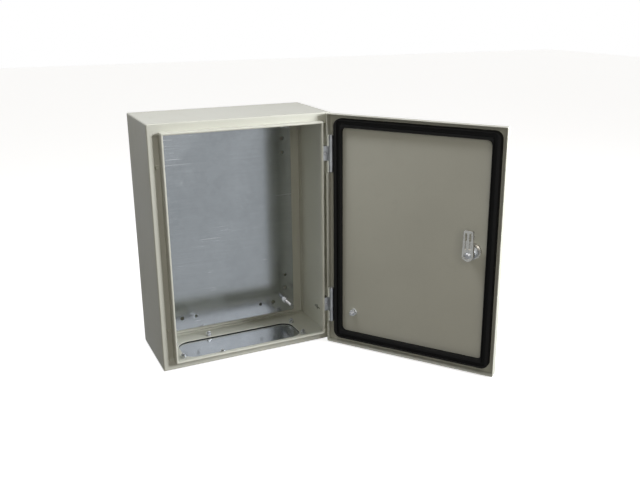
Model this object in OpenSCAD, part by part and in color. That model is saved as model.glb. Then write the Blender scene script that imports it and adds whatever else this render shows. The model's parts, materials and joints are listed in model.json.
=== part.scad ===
// Steel wall enclosure with a hinged door, in millimetres.
// The origin is the centre of the back face, where the four wall holes are centred.
// +Z is up, the open front faces -Y and the door hangs on the right side (+X).

/* [Box] */
// Width of the box
box_w = 300; // [260:10:600]
// Height of the box
box_h = 400; // [300:10:800]
// Depth of the body, from its back face to the front rim
body_d = 133; // [110:1:250]
// Thickness of the sheet steel of body and door
sheet = 1.2; // [0.8:0.1:1.5]
// Outside radius of the bends
bend_r = 2.2; // [1.8:0.1:3]

/* [Front frame] */
// Width of the flat front rim along the sides
rim_w = 9; // [7:0.5:12]
// Width of the flat front rim along top and bottom
rim_w_ends = 13; // [11:0.5:17]
// Depth of the rain channels behind the rim
channel_d = 6; // [4:0.5:8]
// Width of the rain channels
channel_w = 9; // [8.6:0.2:12]
// Distance of the rain channels' ends from the box's top and bottom
channel_end = 18; // [14:1:25]
// How far the sealing lip stands out in front of the rim
lip_out = 11; // [8:0.5:11]
// Thickness of the rolled edge of the lip
lip_t = 4; // [3:0.2:5]
// Depth of the rolled edge of the lip
lip_roll_d = 6; // [5:0.5:10]

/* [Back panel and wall holes] */
// Depth of the flange around the back panel
back_flange = 8; // [5:1:15]
// Clearance of the back panel inside the body
back_gap = 0.1; // [0.05:0.05:0.3]
// Diameter of the wall holes
wall_hole_dia = 8.5; // [6:0.5:10]
// Distance of the wall holes from the box's sides, top and bottom
wall_hole_inset = 25; // [20:1:28]

/* [Mounting plate] */
// Thickness of the mounting plate
plate_t = 2; // [1.5:0.5:4]
// Distance of the plate's edge from the box's sides
plate_side_margin = 23; // [15:1:30]
// Distance of the plate's edge from the box's top and bottom
plate_end_margin = 12.5; // [10:0.5:25]
// Length of the spacers behind the plate
spacer_l = 10.8; // [6:0.1:30]
// Distance of the studs from the plate's side edges
stud_edge_x = 16; // [14:1:25]
// Distance of the studs from the plate's top and bottom edges
stud_edge_z = 22; // [18:1:30]
// Diameter of the plate studs
stud_dia = 6; // [5:1:8]
// Length of the plate studs in front of the plate
stud_reach = 29; // [12:1:50]
// Pitch of the spare holes beside each stud
hole_pitch = 25; // [20:1:35]
// Diameter of the first spare hole
hole_dia_a = 7; // [4:0.5:8]
// Diameter of the second spare hole
hole_dia_b = 5.5; // [4:0.5:8]

/* [Gland plate] */
// Width of the cable opening in the bottom
gland_w = 212; // [120:2:212]
// Depth of the cable opening in the bottom
gland_d = 66; // [40:1:66]
// Distance of the opening's front edge behind the rim
gland_front = 28; // [28:1:34]
// Corner radius of the opening
gland_r = 20; // [16:1:22]
// Width of the gland plate around the opening
gland_margin = 18; // [14:1:18]
// Distance of the gland studs from the opening's edge
gland_stud_off = 7; // [7:0.5:11]
// Turn of the corner studs round the opening's corners, in degrees
gland_corner_turn = 31; // [20:1:60]
// Distance of the middle studs to the left of the middle
gland_stud_left = 45; // [0:1:60]
// Thickness of the gland plate
gland_t = 1.5; // [1:0.5:3]
// Thickness of the gland gasket
gland_gasket_t = 1.5; // [1:0.5:3]
// Width of the gland gasket
gland_gasket_w = 3; // [2:0.5:3]
// Diameter of the gland studs
gland_stud_dia = 5; // [4:1:6]

/* [Door] */
// Angle at which the door stands open
door_open = 126; // [0:1:130]
// Depth of the door's folded edge
door_d = 15; // [14:0.5:20]
// Gap between the closed door's edge and the rim
door_gap = 2; // [1.5:0.5:3]
// How much smaller than the box the door is on each side
door_inset = 0.5; // [0:0.1:1]
// Width of the door gasket
gasket_w = 14; // [12:0.5:15]
// Height of the door gasket
gasket_h = 9; // [6:0.5:9.5]
// Clearance of the lip in the gasket's channel
lip_clear = 1.4; // [0.5:0.1:1.5]

/* [Hinges] */
// Distance of the hinge centres from the box's top and bottom
hinge_end = 67; // [60:1:100]
// Distance of the hinge axis from the box's side
axis_inset = 5; // [4.6:0.1:5.4]
// Distance of the hinge axis in front of the rim
axis_out = 10.8; // [10.6:0.1:11.4]
// Diameter of the hinge knuckles
knuckle_dia = 8; // [7:0.2:8.4]
// Length of the middle knuckle
knuckle_mid = 24; // [16:1:30]
// Length of each outer knuckle
knuckle_end = 18; // [12:1:24]
// Diameter of the hinge pin
pin_dia = 3.5; // [3:0.1:4]
// Radial clearance of the hinge pin
pin_clear = 0.05; // [0.02:0.01:0.1]
// Diameter of the hinge screws
hinge_screw_dia = 4; // [3:0.5:4]

/* [Lock] */
// Distance of the lock from the door's free edge side
lock_inset = 47; // [46:1:70]
// Height of the lock above mid height
lock_z = 2; // [-40:1:40]
// Diameter of the lock housing's thread
lock_dia = 20; // [18:1:22]
// Length of the lock housing behind the door's face
lock_reach = 20; // [16:1:22]
// Length of the cam from the lock axis to its tip
cam_l = 40; // [34:1:42]
// Width of the cam at its tip
cam_w = 15; // [12:1:16]
// Radius of the cam round the lock axis
cam_r = 9; // [8:0.5:10]
// Thickness of the cam
cam_t = 6; // [5:0.5:8]
// Clearance between the locked cam and the channel behind the rim
cam_clear = 0.6; // [0.3:0.1:1.5]

/* [Door earth stud] */
// Distance of the earth stud from the door's hinge side
earth_inset = 45; // [35:1:80]
// Height of the earth stud above the door's bottom edge
earth_z = 58; // [35:1:120]
// Diameter of the earth stud
earth_dia = 6; // [5:1:8]

/* [Hidden] */
$fn = 48;
cut = 1;                       // how far a cutting shape runs past a face
sides = [-1, 1];

// Finishes
paint = [0.80, 0.80, 0.74];
zinc = [0.70, 0.72, 0.75];
steel = [0.62, 0.63, 0.65];
foam = [0.06, 0.06, 0.06];
cast = [0.66, 0.67, 0.68];
nickel = [0.78, 0.77, 0.74];

// Planes of the body, measured along Y from the back face
rim_y = -body_d;
channel_y = rim_y + channel_d;
channel_back_y = channel_y + sheet;
lip_y = rim_y - lip_out;
lip_x = box_w / 2 - rim_w - channel_w;
lip_z = box_h / 2 - rim_w_ends;
channel_half = box_h / 2 - channel_end;

// Planes of the closed door
door_edge_y = rim_y - door_gap;
door_face_y = door_edge_y - door_d;
door_inner_y = door_face_y + sheet;
door_w = box_w - 2 * door_inset;
door_h = box_h - 2 * door_inset;

// Hinge axis and the parts round it
axis_x = box_w / 2 - axis_inset;
axis_y = rim_y - axis_out;
hinge_z = box_h / 2 - hinge_end;
knuckle_r = knuckle_dia / 2;
knuckle_gap = 0.3;             // between the knuckles
notch_end = 0.7;               // clearance of the door's notch past the hinge
hinge_half = knuckle_mid / 2 + knuckle_gap + knuckle_end;
channel_mid_x = box_w / 2 - rim_w - channel_w / 2;
foot_w = channel_w - 1;
foot_top_y = axis_y + 4.8;     // top of the hinge foot, under the closed gasket
hinge_hole_r = hinge_screw_dia / 2 + 0.2;

// Door gasket: its outline insets and the channel that the lip enters
gasket_side = box_w / 2 - lip_x + lip_t / 2 - gasket_w / 2 - 3;
gasket_end = box_h / 2 - lip_z + lip_t / 2 - gasket_w / 2;
gasket_floor = axis_y - door_inner_y;
gasket_r = 13;

// Mounting plate
plate_w = box_w - 2 * plate_side_margin;
plate_h = box_h - 2 * plate_end_margin;
plate_back_y = -sheet - spacer_l;
plate_front_y = plate_back_y - plate_t;
stud_x = plate_w / 2 - stud_edge_x;
stud_z = plate_h / 2 - stud_edge_z;
washer_t = 1.2;

// Gland plate
bottom_z = -box_h / 2;
gland_mid_y = rim_y + gland_front + gland_d / 2;
gland_corner_reach = gland_r + gland_stud_off;
gland_corner_x = gland_w / 2 - gland_r + gland_corner_reach * cos(gland_corner_turn);
gland_corner_y = gland_d / 2 - gland_r + gland_corner_reach * sin(gland_corner_turn);

// Lock
lock_x = -box_w / 2 + lock_inset;
lock_r = lock_dia / 2;
insert_r = 7;
turn_clear = 0.05;
cam_y = channel_back_y + cam_clear;
housing_end_y = min(door_inner_y + lock_reach, cam_y - 1);
lock_seal_t = 1;
lock_flange_t = 3;
lock_flange_r = lock_r + 5;
screw_seat = 2;                // depth of the seat for the cam's screw

// ---- helpers -------------------------------------------------------------

// A block centred on X and Z, from y0 to y1.
module slab(w, h, y0, y1) {
  translate([-w / 2, y0, -h / 2]) cube([w, y1 - y0, h]);
}

// A block with its front edges and its long edges rounded.
module soft_box(w, h, y0, y1, r) {
  x = w / 2 - r;
  z = h / 2 - r;
  slab(2 * x, 2 * z, y0, y1);
  slab(w, 2 * z, y0 + r, y1);
  slab(2 * x, h, y0 + r, y1);
  for (side = sides) {
    translate([side * x, y0 + r, -z]) cylinder(r = r, h = 2 * z);
    translate([-x, y0 + r, side * z]) rotate([0, 90, 0]) cylinder(r = r, h = 2 * x);
    for (sz = sides) translate([side * x, y0 + r, sz * z]) {
      sphere(r);
      rotate([-90, 0, 0]) cylinder(r = r, h = y1 - y0 - r);
    }
  }
}

// A rectangle with round corners, centred.
module round_rect(w, h, r) {
  square([w - 2 * r, h], center = true);
  square([w, h - 2 * r], center = true);
  for (sx = sides, sy = sides)
    translate([sx * (w / 2 - r), sy * (h / 2 - r)]) circle(r);
}

// A round-cornered slab centred on X and Z, from y0 to y1.
module round_slab(w, h, r, y0, y1) {
  translate([0, y1, 0]) rotate([90, 0, 0]) linear_extrude(y1 - y0) round_rect(w, h, r);
}

// A frame between two round-cornered outlines.
module round_frame(w, h, r, w_in, h_in, r_in, y0, y1) {
  difference() {
    round_slab(w, h, r, y0, y1);
    round_slab(w_in, h_in, r_in, y0 - cut, y1 + cut);
  }
}

// A rod along +Y.
module rod_y(r, y0, y1, facets = 48) {
  translate([0, y0, 0]) rotate([-90, 0, 0]) cylinder(r = r, h = y1 - y0, $fn = facets);
}

// A tube along +Y.
module tube_y(r, bore, y0, y1) {
  difference() {
    rod_y(r, y0, y1);
    rod_y(bore, y0 - cut, y1 + cut);
  }
}

// A hexagon nut along +Y.
module nut_y(across, bore, y0, y1) {
  difference() {
    rod_y(across / 2 / cos(30), y0, y1, 6);
    rod_y(bore, y0 - cut, y1 + cut);
  }
}

// A hexagon nut along +Z.
module nut_z(across, bore, z0, z1) {
  translate([0, 0, z0]) difference() {
    cylinder(r = across / 2 / cos(30), h = z1 - z0, $fn = 6);
    translate([0, 0, -cut]) cylinder(r = bore, h = z1 - z0 + 2 * cut);
  }
}

// A tube along +Z.
module tube_z(r, bore, z0, z1) {
  translate([0, 0, z0]) difference() {
    cylinder(r = r, h = z1 - z0);
    translate([0, 0, -cut]) cylinder(r = bore, h = z1 - z0 + 2 * cut);
  }
}

module at_plate_studs() {
  for (sx = sides, sz = sides) translate([sx * stud_x, 0, sz * stud_z]) children();
}

module at_gland_studs() {
  for (sy = sides) translate([0, gland_mid_y, 0]) {
    for (sx = sides) translate([sx * gland_corner_x, sy * gland_corner_y, 0]) children();
    translate([-gland_stud_left, sy * (gland_d / 2 + gland_stud_off), 0]) children();
  }
}

module at_hinge(level) {
  translate([0, 0, level * hinge_z]) children();
}

// Turns what is drawn on the closed door to the angle at which the door stands.
module on_door() {
  translate([axis_x, axis_y, 0]) rotate([0, 0, door_open])
    translate([-axis_x, -axis_y, 0]) children();
}

module at_lock() {
  on_door() translate([lock_x, 0, lock_z]) children();
}

module at_earth() {
  on_door() translate([door_w / 2 - earth_inset, 0, -door_h / 2 + earth_z]) children();
}

// ---- body ----------------------------------------------------------------

// The folded side, top and bottom walls with the rim, rain channels and lip.
module body_wrapper() {
  color(paint) difference() {
    union() {
      difference() {
        soft_box(box_w, box_h, rim_y, 0, bend_r);
        soft_box(box_w - 2 * sheet, box_h - 2 * sheet, rim_y + sheet, cut, bend_r - sheet);
        round_slab(2 * (lip_x - sheet), 2 * (lip_z - sheet), bend_r - sheet,
                   rim_y - cut, rim_y + sheet + cut);
      }
      // walls and floors of the two rain channels
      for (sx = sides) translate([sx * channel_mid_x, 0, 0])
        slab(channel_w + 2 * sheet, 2 * (channel_half + sheet), rim_y + sheet / 2,
             channel_back_y);
      // sealing lip and its rolled edge
      round_frame(2 * lip_x, 2 * lip_z, bend_r,
                  2 * (lip_x - sheet), 2 * (lip_z - sheet), bend_r - sheet,
                  lip_y + lip_roll_d / 2, rim_y + sheet);
      round_frame(2 * lip_x, 2 * lip_z, bend_r,
                  2 * (lip_x - lip_t), 2 * (lip_z - lip_t), bend_r - sheet,
                  lip_y + lip_t / 4, lip_y + lip_roll_d);
      round_frame(2 * lip_x - lip_t / 2, 2 * lip_z - lip_t / 2, bend_r,
                  2 * lip_x - lip_t * 3 / 2, 2 * lip_z - lip_t * 3 / 2, bend_r - sheet,
                  lip_y, lip_y + lip_t / 2);
    }
    // rain channels, with holes for the hinge screws on the right and plugs on the left
    for (sx = sides) translate([sx * channel_mid_x, 0, 0]) {
      slab(channel_w, 2 * channel_half, rim_y - cut, channel_y);
      for (sz = sides) translate([0, 0, sz * hinge_z])
        rod_y(hinge_hole_r, channel_y - cut, channel_back_y + cut);
    }
    // cable opening and the holes for the gland studs
    translate([0, gland_mid_y, bottom_z - cut]) linear_extrude(sheet + 2 * cut)
      round_rect(gland_w, gland_d, gland_r);
    at_gland_studs() translate([0, 0, bottom_z - cut])
      cylinder(d = gland_stud_dia + 0.8, h = sheet + 2 * cut);
  }
}

// The welded back, a shallow tray with its flange turned forwards.
module back_panel() {
  outer_w = box_w - 2 * (sheet + back_gap);
  outer_h = box_h - 2 * (sheet + back_gap);
  corner = bend_r - sheet;
  color(paint) difference() {
    round_slab(outer_w, outer_h, corner, -back_flange, 0);
    slab(outer_w - 2 * sheet, outer_h - 2 * sheet, -back_flange - cut, -sheet);
    for (sx = sides, sz = sides)
      translate([sx * (box_w / 2 - wall_hole_inset), 0, sz * (box_h / 2 - wall_hole_inset)])
        rod_y(wall_hole_dia / 2, -sheet - cut, cut);
  }
}

// ---- mounting plate ------------------------------------------------------

module mounting_plate() {
  color(zinc) difference() {
    round_slab(plate_w, plate_h, 2, plate_front_y, plate_back_y);
    at_plate_studs() rod_y(stud_dia / 2 + 0.3, plate_front_y - cut, plate_back_y + cut);
    for (sx = sides, sz = sides, step = [1, 2]) {
      hole_r = (step == 1 ? hole_dia_a : hole_dia_b) / 2;
      translate([sx * (stud_x - step * hole_pitch), 0, sz * stud_z])
        rod_y(hole_r, plate_front_y - cut, plate_back_y + cut);
      translate([sx * stud_x, 0, sz * (stud_z - step * hole_pitch)])
        rod_y(hole_r, plate_front_y - cut, plate_back_y + cut);
    }
  }
}

module plate_studs() {
  color(steel) at_plate_studs() rod_y(stud_dia / 2, plate_front_y - stud_reach, -sheet);
}

module plate_spacers() {
  color(steel) at_plate_studs()
    tube_y(stud_dia / 2 + 2.5, stud_dia / 2 + 0.2, plate_back_y, -sheet);
}

module plate_washers() {
  color(zinc) at_plate_studs()
    tube_y(stud_dia, stud_dia / 2 + 0.2, plate_front_y - washer_t, plate_front_y);
}

module plate_nuts() {
  color(zinc) at_plate_studs()
    nut_y(stud_dia * 10 / 6, stud_dia / 2 + 0.1,
          plate_front_y - washer_t - stud_dia * 5 / 6, plate_front_y - washer_t);
}

// ---- gland plate ---------------------------------------------------------

module gland_plate() {
  color(zinc) translate([0, gland_mid_y, bottom_z - gland_gasket_t - gland_t])
    linear_extrude(gland_t)
      round_rect(gland_w + 2 * gland_margin, gland_d + 2 * gland_margin, 4);
}

module gland_gasket() {
  edge = 0.8;                  // distance from the opening's edge
  color(foam) translate([0, gland_mid_y, bottom_z - gland_gasket_t])
    linear_extrude(gland_gasket_t) difference() {
      round_rect(gland_w + 2 * (edge + gland_gasket_w), gland_d + 2 * (edge + gland_gasket_w),
                 gland_r + edge + gland_gasket_w);
      round_rect(gland_w + 2 * edge, gland_d + 2 * edge, gland_r + edge);
    }
}

gland_nut_t = gland_stud_dia * 0.8;
gland_washer_t = 1;
gland_nut_z = bottom_z + sheet + gland_washer_t;

module gland_studs() {
  color(steel) at_gland_studs() translate([0, 0, bottom_z - gland_gasket_t])
    cylinder(d = gland_stud_dia, h = gland_nut_z + gland_nut_t + 2.5 - bottom_z + gland_gasket_t);
}

module gland_washers() {
  color(zinc) at_gland_studs()
    tube_z(gland_stud_dia, gland_stud_dia / 2 + 0.2, bottom_z + sheet, gland_nut_z);
}

module gland_nuts() {
  color(zinc) at_gland_studs()
    nut_z(gland_stud_dia * 8 / 5, gland_stud_dia / 2 + 0.1, gland_nut_z, gland_nut_z + gland_nut_t);
}

// ---- hinges --------------------------------------------------------------

// Plastic plugs in the unused hinge holes of the left channel.
module hinge_hole_plugs() {
  head_r = 3.4;
  head_t = 1.6;
  color([0.74, 0.75, 0.68]) for (sz = sides)
    translate([-channel_mid_x, 0, sz * hinge_z]) {
      rod_y(head_r, channel_y - head_t, channel_y);
      rod_y(hinge_hole_r - 0.1, channel_y - head_t / 2, channel_back_y + 2);
    }
}

// The body's hinge part: a foot in the channel, an arm and the middle knuckle.
module body_hinge() {
  foot_x0 = channel_mid_x - foot_w / 2;
  foot_x1 = channel_mid_x + foot_w / 2;
  head_r = hinge_screw_dia * 0.9 + 0.1;
  color(cast) difference() {
    translate([0, 0, -knuckle_mid / 2]) union() {
      linear_extrude(knuckle_mid)
        polygon([[axis_x - knuckle_r, axis_y], [axis_x - knuckle_r - 0.2, foot_top_y],
                 [foot_x0, foot_top_y], [foot_x0, channel_y], [foot_x1, channel_y],
                 [foot_x1, rim_y - 0.9], [axis_x - 1, axis_y + knuckle_r - 0.3],
                 [axis_x, axis_y]]);
      translate([axis_x, axis_y, 0]) cylinder(r = knuckle_r, h = knuckle_mid);
    }
    translate([axis_x, axis_y, -knuckle_mid / 2 - cut])
      cylinder(r = pin_dia / 2 + pin_clear, h = knuckle_mid + 2 * cut);
    translate([channel_mid_x, 0, 0]) {
      rod_y(hinge_hole_r, foot_top_y - cut, channel_y + cut);
      rod_y(head_r, foot_top_y - cut, foot_top_y + hinge_screw_dia + 0.5);
    }
  }
}

module body_hinge_upper() {
  at_hinge(1) body_hinge();
}

module body_hinge_lower() {
  at_hinge(-1) body_hinge();
}

module at_hinge_screws() {
  for (sz = sides) translate([channel_mid_x, 0, sz * hinge_z]) children();
}

hinge_head_y = foot_top_y + 0.5;
hinge_nut_y = channel_back_y + 0.8;
hinge_nut_t = hinge_screw_dia * 0.8;

module hinge_screws() {
  color(steel) at_hinge_screws() difference() {
    union() {
      rod_y(hinge_screw_dia * 0.9, hinge_head_y, hinge_head_y + hinge_screw_dia);
      rod_y(hinge_screw_dia / 2, hinge_head_y + hinge_screw_dia - 0.5, hinge_nut_y + hinge_nut_t + 1);
    }
    rod_y(hinge_screw_dia * 0.43, hinge_head_y - cut, hinge_head_y + hinge_screw_dia / 2, 6);
  }
}

module hinge_washers() {
  color(zinc) at_hinge_screws()
    tube_y(hinge_screw_dia * 1.1, hinge_hole_r, channel_back_y, hinge_nut_y);
}

module hinge_nuts() {
  color(zinc) at_hinge_screws()
    nut_y(hinge_screw_dia * 7 / 4, hinge_screw_dia / 2 + 0.1, hinge_nut_y, hinge_nut_y + hinge_nut_t);
}

// The door's hinge part: two outer knuckles on feet, joined by a thin strap.
module door_hinge() {
  strap_t = axis_y - door_inner_y - knuckle_r - 0.3;
  color(cast) on_door() difference() {
    union() {
      for (sz = sides) translate([axis_x, axis_y, sz * (knuckle_mid + knuckle_end) / 2
                                  + sz * knuckle_gap - knuckle_end / 2]) {
        cylinder(r = knuckle_r, h = knuckle_end);
        translate([-knuckle_r, door_inner_y - axis_y, 0])
          cube([2 * knuckle_r, axis_y - door_inner_y, knuckle_end]);
      }
      translate([axis_x - knuckle_r, door_inner_y, -knuckle_mid])
        cube([1.6 * knuckle_r, strap_t, 2 * knuckle_mid]);
    }
    translate([axis_x, axis_y, -hinge_half - cut])
      cylinder(r = pin_dia / 2 + pin_clear, h = 2 * (hinge_half + cut));
  }
}

module door_hinge_upper() {
  at_hinge(1) door_hinge();
}

module door_hinge_lower() {
  at_hinge(-1) door_hinge();
}

// The pin, with a head that rests on the top knuckle.
module hinge_pin() {
  head_t = 1.6;
  color(steel) translate([axis_x, axis_y, 0]) {
    translate([0, 0, -hinge_half - 1])
      cylinder(d = pin_dia, h = 2 * hinge_half + 1 + head_t / 2);
    translate([0, 0, hinge_half]) cylinder(r = pin_dia * 0.72, h = head_t);
  }
}

module hinge_pin_upper() {
  at_hinge(1) hinge_pin();
}

module hinge_pin_lower() {
  at_hinge(-1) hinge_pin();
}

// ---- door ----------------------------------------------------------------

module door_shell() {
  notch_h = 2 * (hinge_half + notch_end);
  color(paint) on_door() difference() {
    soft_box(door_w, door_h, door_face_y, door_edge_y, bend_r);
    soft_box(door_w - 2 * sheet, door_h - 2 * sheet, door_inner_y, door_edge_y + cut,
             bend_r - sheet);
    // room for the hinges in the folded edge
    for (level = sides) at_hinge(level)
      translate([axis_x + knuckle_r / 2 - 0.5, door_inner_y, -notch_h / 2])
        cube([box_w, door_d, notch_h]);
    // hole for the lock
    translate([lock_x, 0, lock_z]) rod_y(lock_r + 0.2, door_face_y - cut, door_inner_y + cut);
  }
}

// The foam gasket, with the channel that the closed lip enters.
module door_gasket() {
  w = box_w - 2 * gasket_side;
  h = box_h - 2 * gasket_end;
  top_y = door_inner_y + gasket_h;
  channel_floor_y = lip_y - 0.3;
  color(foam) on_door() difference() {
    round_frame(w, h, gasket_r, w - 2 * gasket_w, h - 2 * gasket_w, gasket_r - 5,
                door_inner_y, top_y);
    round_frame(2 * (lip_x + lip_clear), 2 * (lip_z + lip_clear), bend_r + lip_clear,
                2 * (lip_x - lip_t - lip_clear / 2), 2 * (lip_z - lip_t - lip_clear / 2), 2,
                channel_floor_y, top_y + cut);
  }
}

module door_earth_stud() {
  color(steel) at_earth() rod_y(earth_dia / 2, door_inner_y, door_inner_y + 12);
}

module door_earth_washer() {
  color(zinc) at_earth()
    tube_y(earth_dia, earth_dia / 2 + 0.2, door_inner_y, door_inner_y + washer_t);
}

module door_earth_nut() {
  color(zinc) at_earth()
    nut_y(earth_dia * 10 / 6, earth_dia / 2 + 0.1, door_inner_y + washer_t,
          door_inner_y + washer_t + earth_dia * 5 / 6);
}

// ---- lock ----------------------------------------------------------------

lock_front_y = door_face_y - lock_seal_t - lock_flange_t;

module lock_housing() {
  color(cast) at_lock() difference() {
    union() {
      rod_y(lock_flange_r, lock_front_y, door_face_y - lock_seal_t);
      rod_y(lock_r, lock_front_y + 1, housing_end_y);
    }
    rod_y(insert_r + turn_clear, lock_front_y - cut, housing_end_y + cut);
    rod_y(insert_r + 1.5 + turn_clear, lock_front_y - cut, lock_front_y + 2);
  }
}

module lock_seal() {
  color(foam) at_lock()
    tube_y(lock_flange_r - 1, lock_r + 0.3, door_face_y - lock_seal_t, door_face_y);
}

module lock_nut() {
  color(nickel) at_lock() difference() {
    union() {
      rod_y(lock_r + 3.2, door_inner_y, door_inner_y + 4);
      rod_y(lock_r + 1.5, door_inner_y + 3, door_inner_y + 8);
    }
    rod_y(lock_r + 0.1, door_inner_y - cut, door_inner_y + 9);
    for (i = [0:11]) rotate([0, 30 * i, 0])
      translate([lock_r + 2.6, door_inner_y - cut, -1.2]) cube([3, 4 + 2 * cut, 2.4]);
  }
}

// The turning core: a double-bit key seat in front, a shoulder for the cam behind.
module lock_insert() {
  color(nickel) at_lock() {
    difference() {
      union() {
        rod_y(insert_r + 1.5, lock_front_y + 0.4, lock_front_y + 1.9);
        rod_y(insert_r, lock_front_y + 1, cam_y);
      }
      rod_y(4.6, lock_front_y - cut, lock_front_y + 9);
      rod_y(2, cam_y - 8, cam_y + cut);
    }
    rod_y(1.6, lock_front_y + 1, lock_front_y + 10);
    for (sx = sides) translate([sx * 2.1 - 1, lock_front_y + 1, -1.5]) cube([2, 9, 3]);
  }
}

// The cam: a tapered lever with two long grooves, open through near the tip.
module lock_cam() {
  tip_r = 3;
  groove_w = 3;
  groove_x = 3.3;
  groove_z0 = cam_r + 1;
  groove_z1 = cam_l - 4;
  window_z0 = groove_z1 - 13;
  color(nickel) at_lock() difference() {
    translate([0, cam_y + cam_t, 0]) rotate([90, 0, 0]) linear_extrude(cam_t) {
      circle(cam_r);
      polygon([[-cam_r, 0], [cam_r, 0], [cam_w / 2, cam_l - tip_r],
               [-cam_w / 2, cam_l - tip_r]]);
      translate([-cam_w / 2 + tip_r, cam_l - 2 * tip_r]) square([cam_w - 2 * tip_r, 2 * tip_r]);
      for (sx = sides) translate([sx * (cam_w / 2 - tip_r), cam_l - tip_r]) circle(tip_r);
    }
    rod_y(2.2, cam_y - cut, cam_y + cam_t + cut);
    rod_y(6.2, cam_y + cam_t - screw_seat, cam_y + cam_t + cut);
    for (sx = sides) {
      translate([sx * groove_x - groove_w / 2, cam_y + cam_t - 2.5, groove_z0])
        cube([groove_w, 2.5 + cut, groove_z1 - groove_z0]);
      translate([sx * groove_x - groove_w / 2, cam_y - cut, window_z0])
        cube([groove_w, cam_t + 2 * cut, groove_z1 - window_z0]);
    }
  }
}

module cam_washer() {
  color(zinc) at_lock()
    tube_y(5.6, 2.2, cam_y + cam_t - screw_seat, cam_y + cam_t - screw_seat + 1);
}

module cam_screw() {
  seat_y = cam_y + cam_t - screw_seat + 1;
  color(steel) at_lock() difference() {
    union() {
      rod_y(1.9, cam_y - 7, seat_y + 1);
      rod_y(4.4, seat_y, seat_y + 1.6);
      translate([0, seat_y + 1.6, 0]) rotate([-90, 0, 0]) cylinder(r1 = 4.4, r2 = 2.8, h = 1.2);
    }
    translate([-3, seat_y + 1.8, -0.5]) cube([6, 2, 1]);
    translate([-0.5, seat_y + 1.8, -3]) cube([1, 2, 6]);
  }
}

// ---- drawing -------------------------------------------------------------

body_wrapper();
back_panel();
mounting_plate();
plate_studs();
plate_spacers();
plate_washers();
plate_nuts();
gland_plate();
gland_gasket();
gland_studs();
gland_washers();
gland_nuts();
hinge_hole_plugs();
body_hinge_upper();
body_hinge_lower();
hinge_screws();
hinge_washers();
hinge_nuts();
door_shell();
door_gasket();
door_hinge_upper();
door_hinge_lower();
on_door() hinge_pin_upper();
on_door() hinge_pin_lower();
door_earth_stud();
door_earth_washer();
door_earth_nut();
lock_housing();
lock_seal();
lock_nut();
lock_insert();
lock_cam();
cam_washer();
cam_screw();
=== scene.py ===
"""A steel wall enclosure with its door open, laid out as a Blender add-on.

Each operator makes one piece, or one group of like pieces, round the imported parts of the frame.
"""
import json
import math

import bmesh
import bpy
from mathutils import Matrix, Vector


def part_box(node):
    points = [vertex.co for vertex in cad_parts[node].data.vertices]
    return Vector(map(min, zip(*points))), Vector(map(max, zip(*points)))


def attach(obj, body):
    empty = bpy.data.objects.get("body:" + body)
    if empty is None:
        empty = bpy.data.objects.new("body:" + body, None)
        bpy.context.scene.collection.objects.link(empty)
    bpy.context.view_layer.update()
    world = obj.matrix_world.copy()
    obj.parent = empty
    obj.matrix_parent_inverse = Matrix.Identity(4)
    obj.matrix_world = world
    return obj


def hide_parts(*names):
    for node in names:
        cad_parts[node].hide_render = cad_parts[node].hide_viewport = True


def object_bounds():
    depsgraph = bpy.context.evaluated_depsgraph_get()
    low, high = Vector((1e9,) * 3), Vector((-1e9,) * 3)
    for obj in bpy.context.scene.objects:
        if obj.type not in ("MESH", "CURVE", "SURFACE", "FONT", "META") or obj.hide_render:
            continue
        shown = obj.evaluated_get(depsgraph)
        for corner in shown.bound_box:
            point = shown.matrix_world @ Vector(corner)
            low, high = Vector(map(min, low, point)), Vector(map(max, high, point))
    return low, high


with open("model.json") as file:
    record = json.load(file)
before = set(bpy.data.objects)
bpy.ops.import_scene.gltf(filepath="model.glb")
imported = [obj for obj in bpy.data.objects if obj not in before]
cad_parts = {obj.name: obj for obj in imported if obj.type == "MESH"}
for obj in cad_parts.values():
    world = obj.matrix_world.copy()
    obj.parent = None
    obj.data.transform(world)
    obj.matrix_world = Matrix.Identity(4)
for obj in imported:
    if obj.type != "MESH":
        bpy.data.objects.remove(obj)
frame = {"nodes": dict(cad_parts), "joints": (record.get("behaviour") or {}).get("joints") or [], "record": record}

bl_info = {
    "name": "Steel wall enclosure",
    "version": (1, 0, 0),
    "blender": (4, 5, 0),
    "location": "View3D > Sidebar > Enclosure",
    "description": "Makes a painted steel wall enclosure with a gasketed door and a cam lock",
    "category": "Object",
}

MM = 0.001
CAD_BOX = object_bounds()
HINGE = next(j for j in frame["joints"] if j["name"] == "door_hinge")
AXIS = Vector(HINGE["pos_m"])
OPEN_ANGLE = math.radians(-HINGE["range_deg"][0])
# carries what is built on the closed door to where the door stands open
TO_OPEN = Matrix.Translation(AXIS) @ Matrix.Rotation(OPEN_ANGLE, 4, "Z") @ Matrix.Translation(-AXIS)
UPRIGHT = Matrix.Rotation(math.radians(90), 4, "X")        # turns a piece built along Y to stand along Z
SIDES = (-1, 1)
LEVELS = ("upper", "lower")
CORNER_STEPS = 8                   # points at each round corner of a loop
ROUND_STEPS = 48
HEX_STEPS = 60
HEX_FACE = 0.96                    # a nut's flat face, as a share of its width across flats
REACH = 4 * MM                     # how far a cutter reaches past a sheet
GLAND_HOLE_PLAY = 0.4 * MM         # gap between a gland stud and its hole


# ---- sizes and colours that a user would change ----

def length(name, description, millimetres):
    return bpy.props.FloatProperty(name=name, description=description, default=millimetres * MM,
                                   min=0, precision=5, unit="LENGTH", subtype="DISTANCE")


def vector(name, description, *values, **extra):
    return bpy.props.FloatVectorProperty(name=name, description=description, size=len(values),
                                         default=values, **extra)


def shade(name, description, red, green, blue):
    return vector(name, description, red, green, blue, min=0, max=1, subtype="COLOR")


def power(name, default):
    return bpy.props.FloatProperty(name=name, description="Power of the lamp", default=default, min=0, unit="POWER")


def amount(name, description, default, top=1.0):
    return bpy.props.FloatProperty(name=name, description=description, default=default, min=0, max=top)


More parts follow.
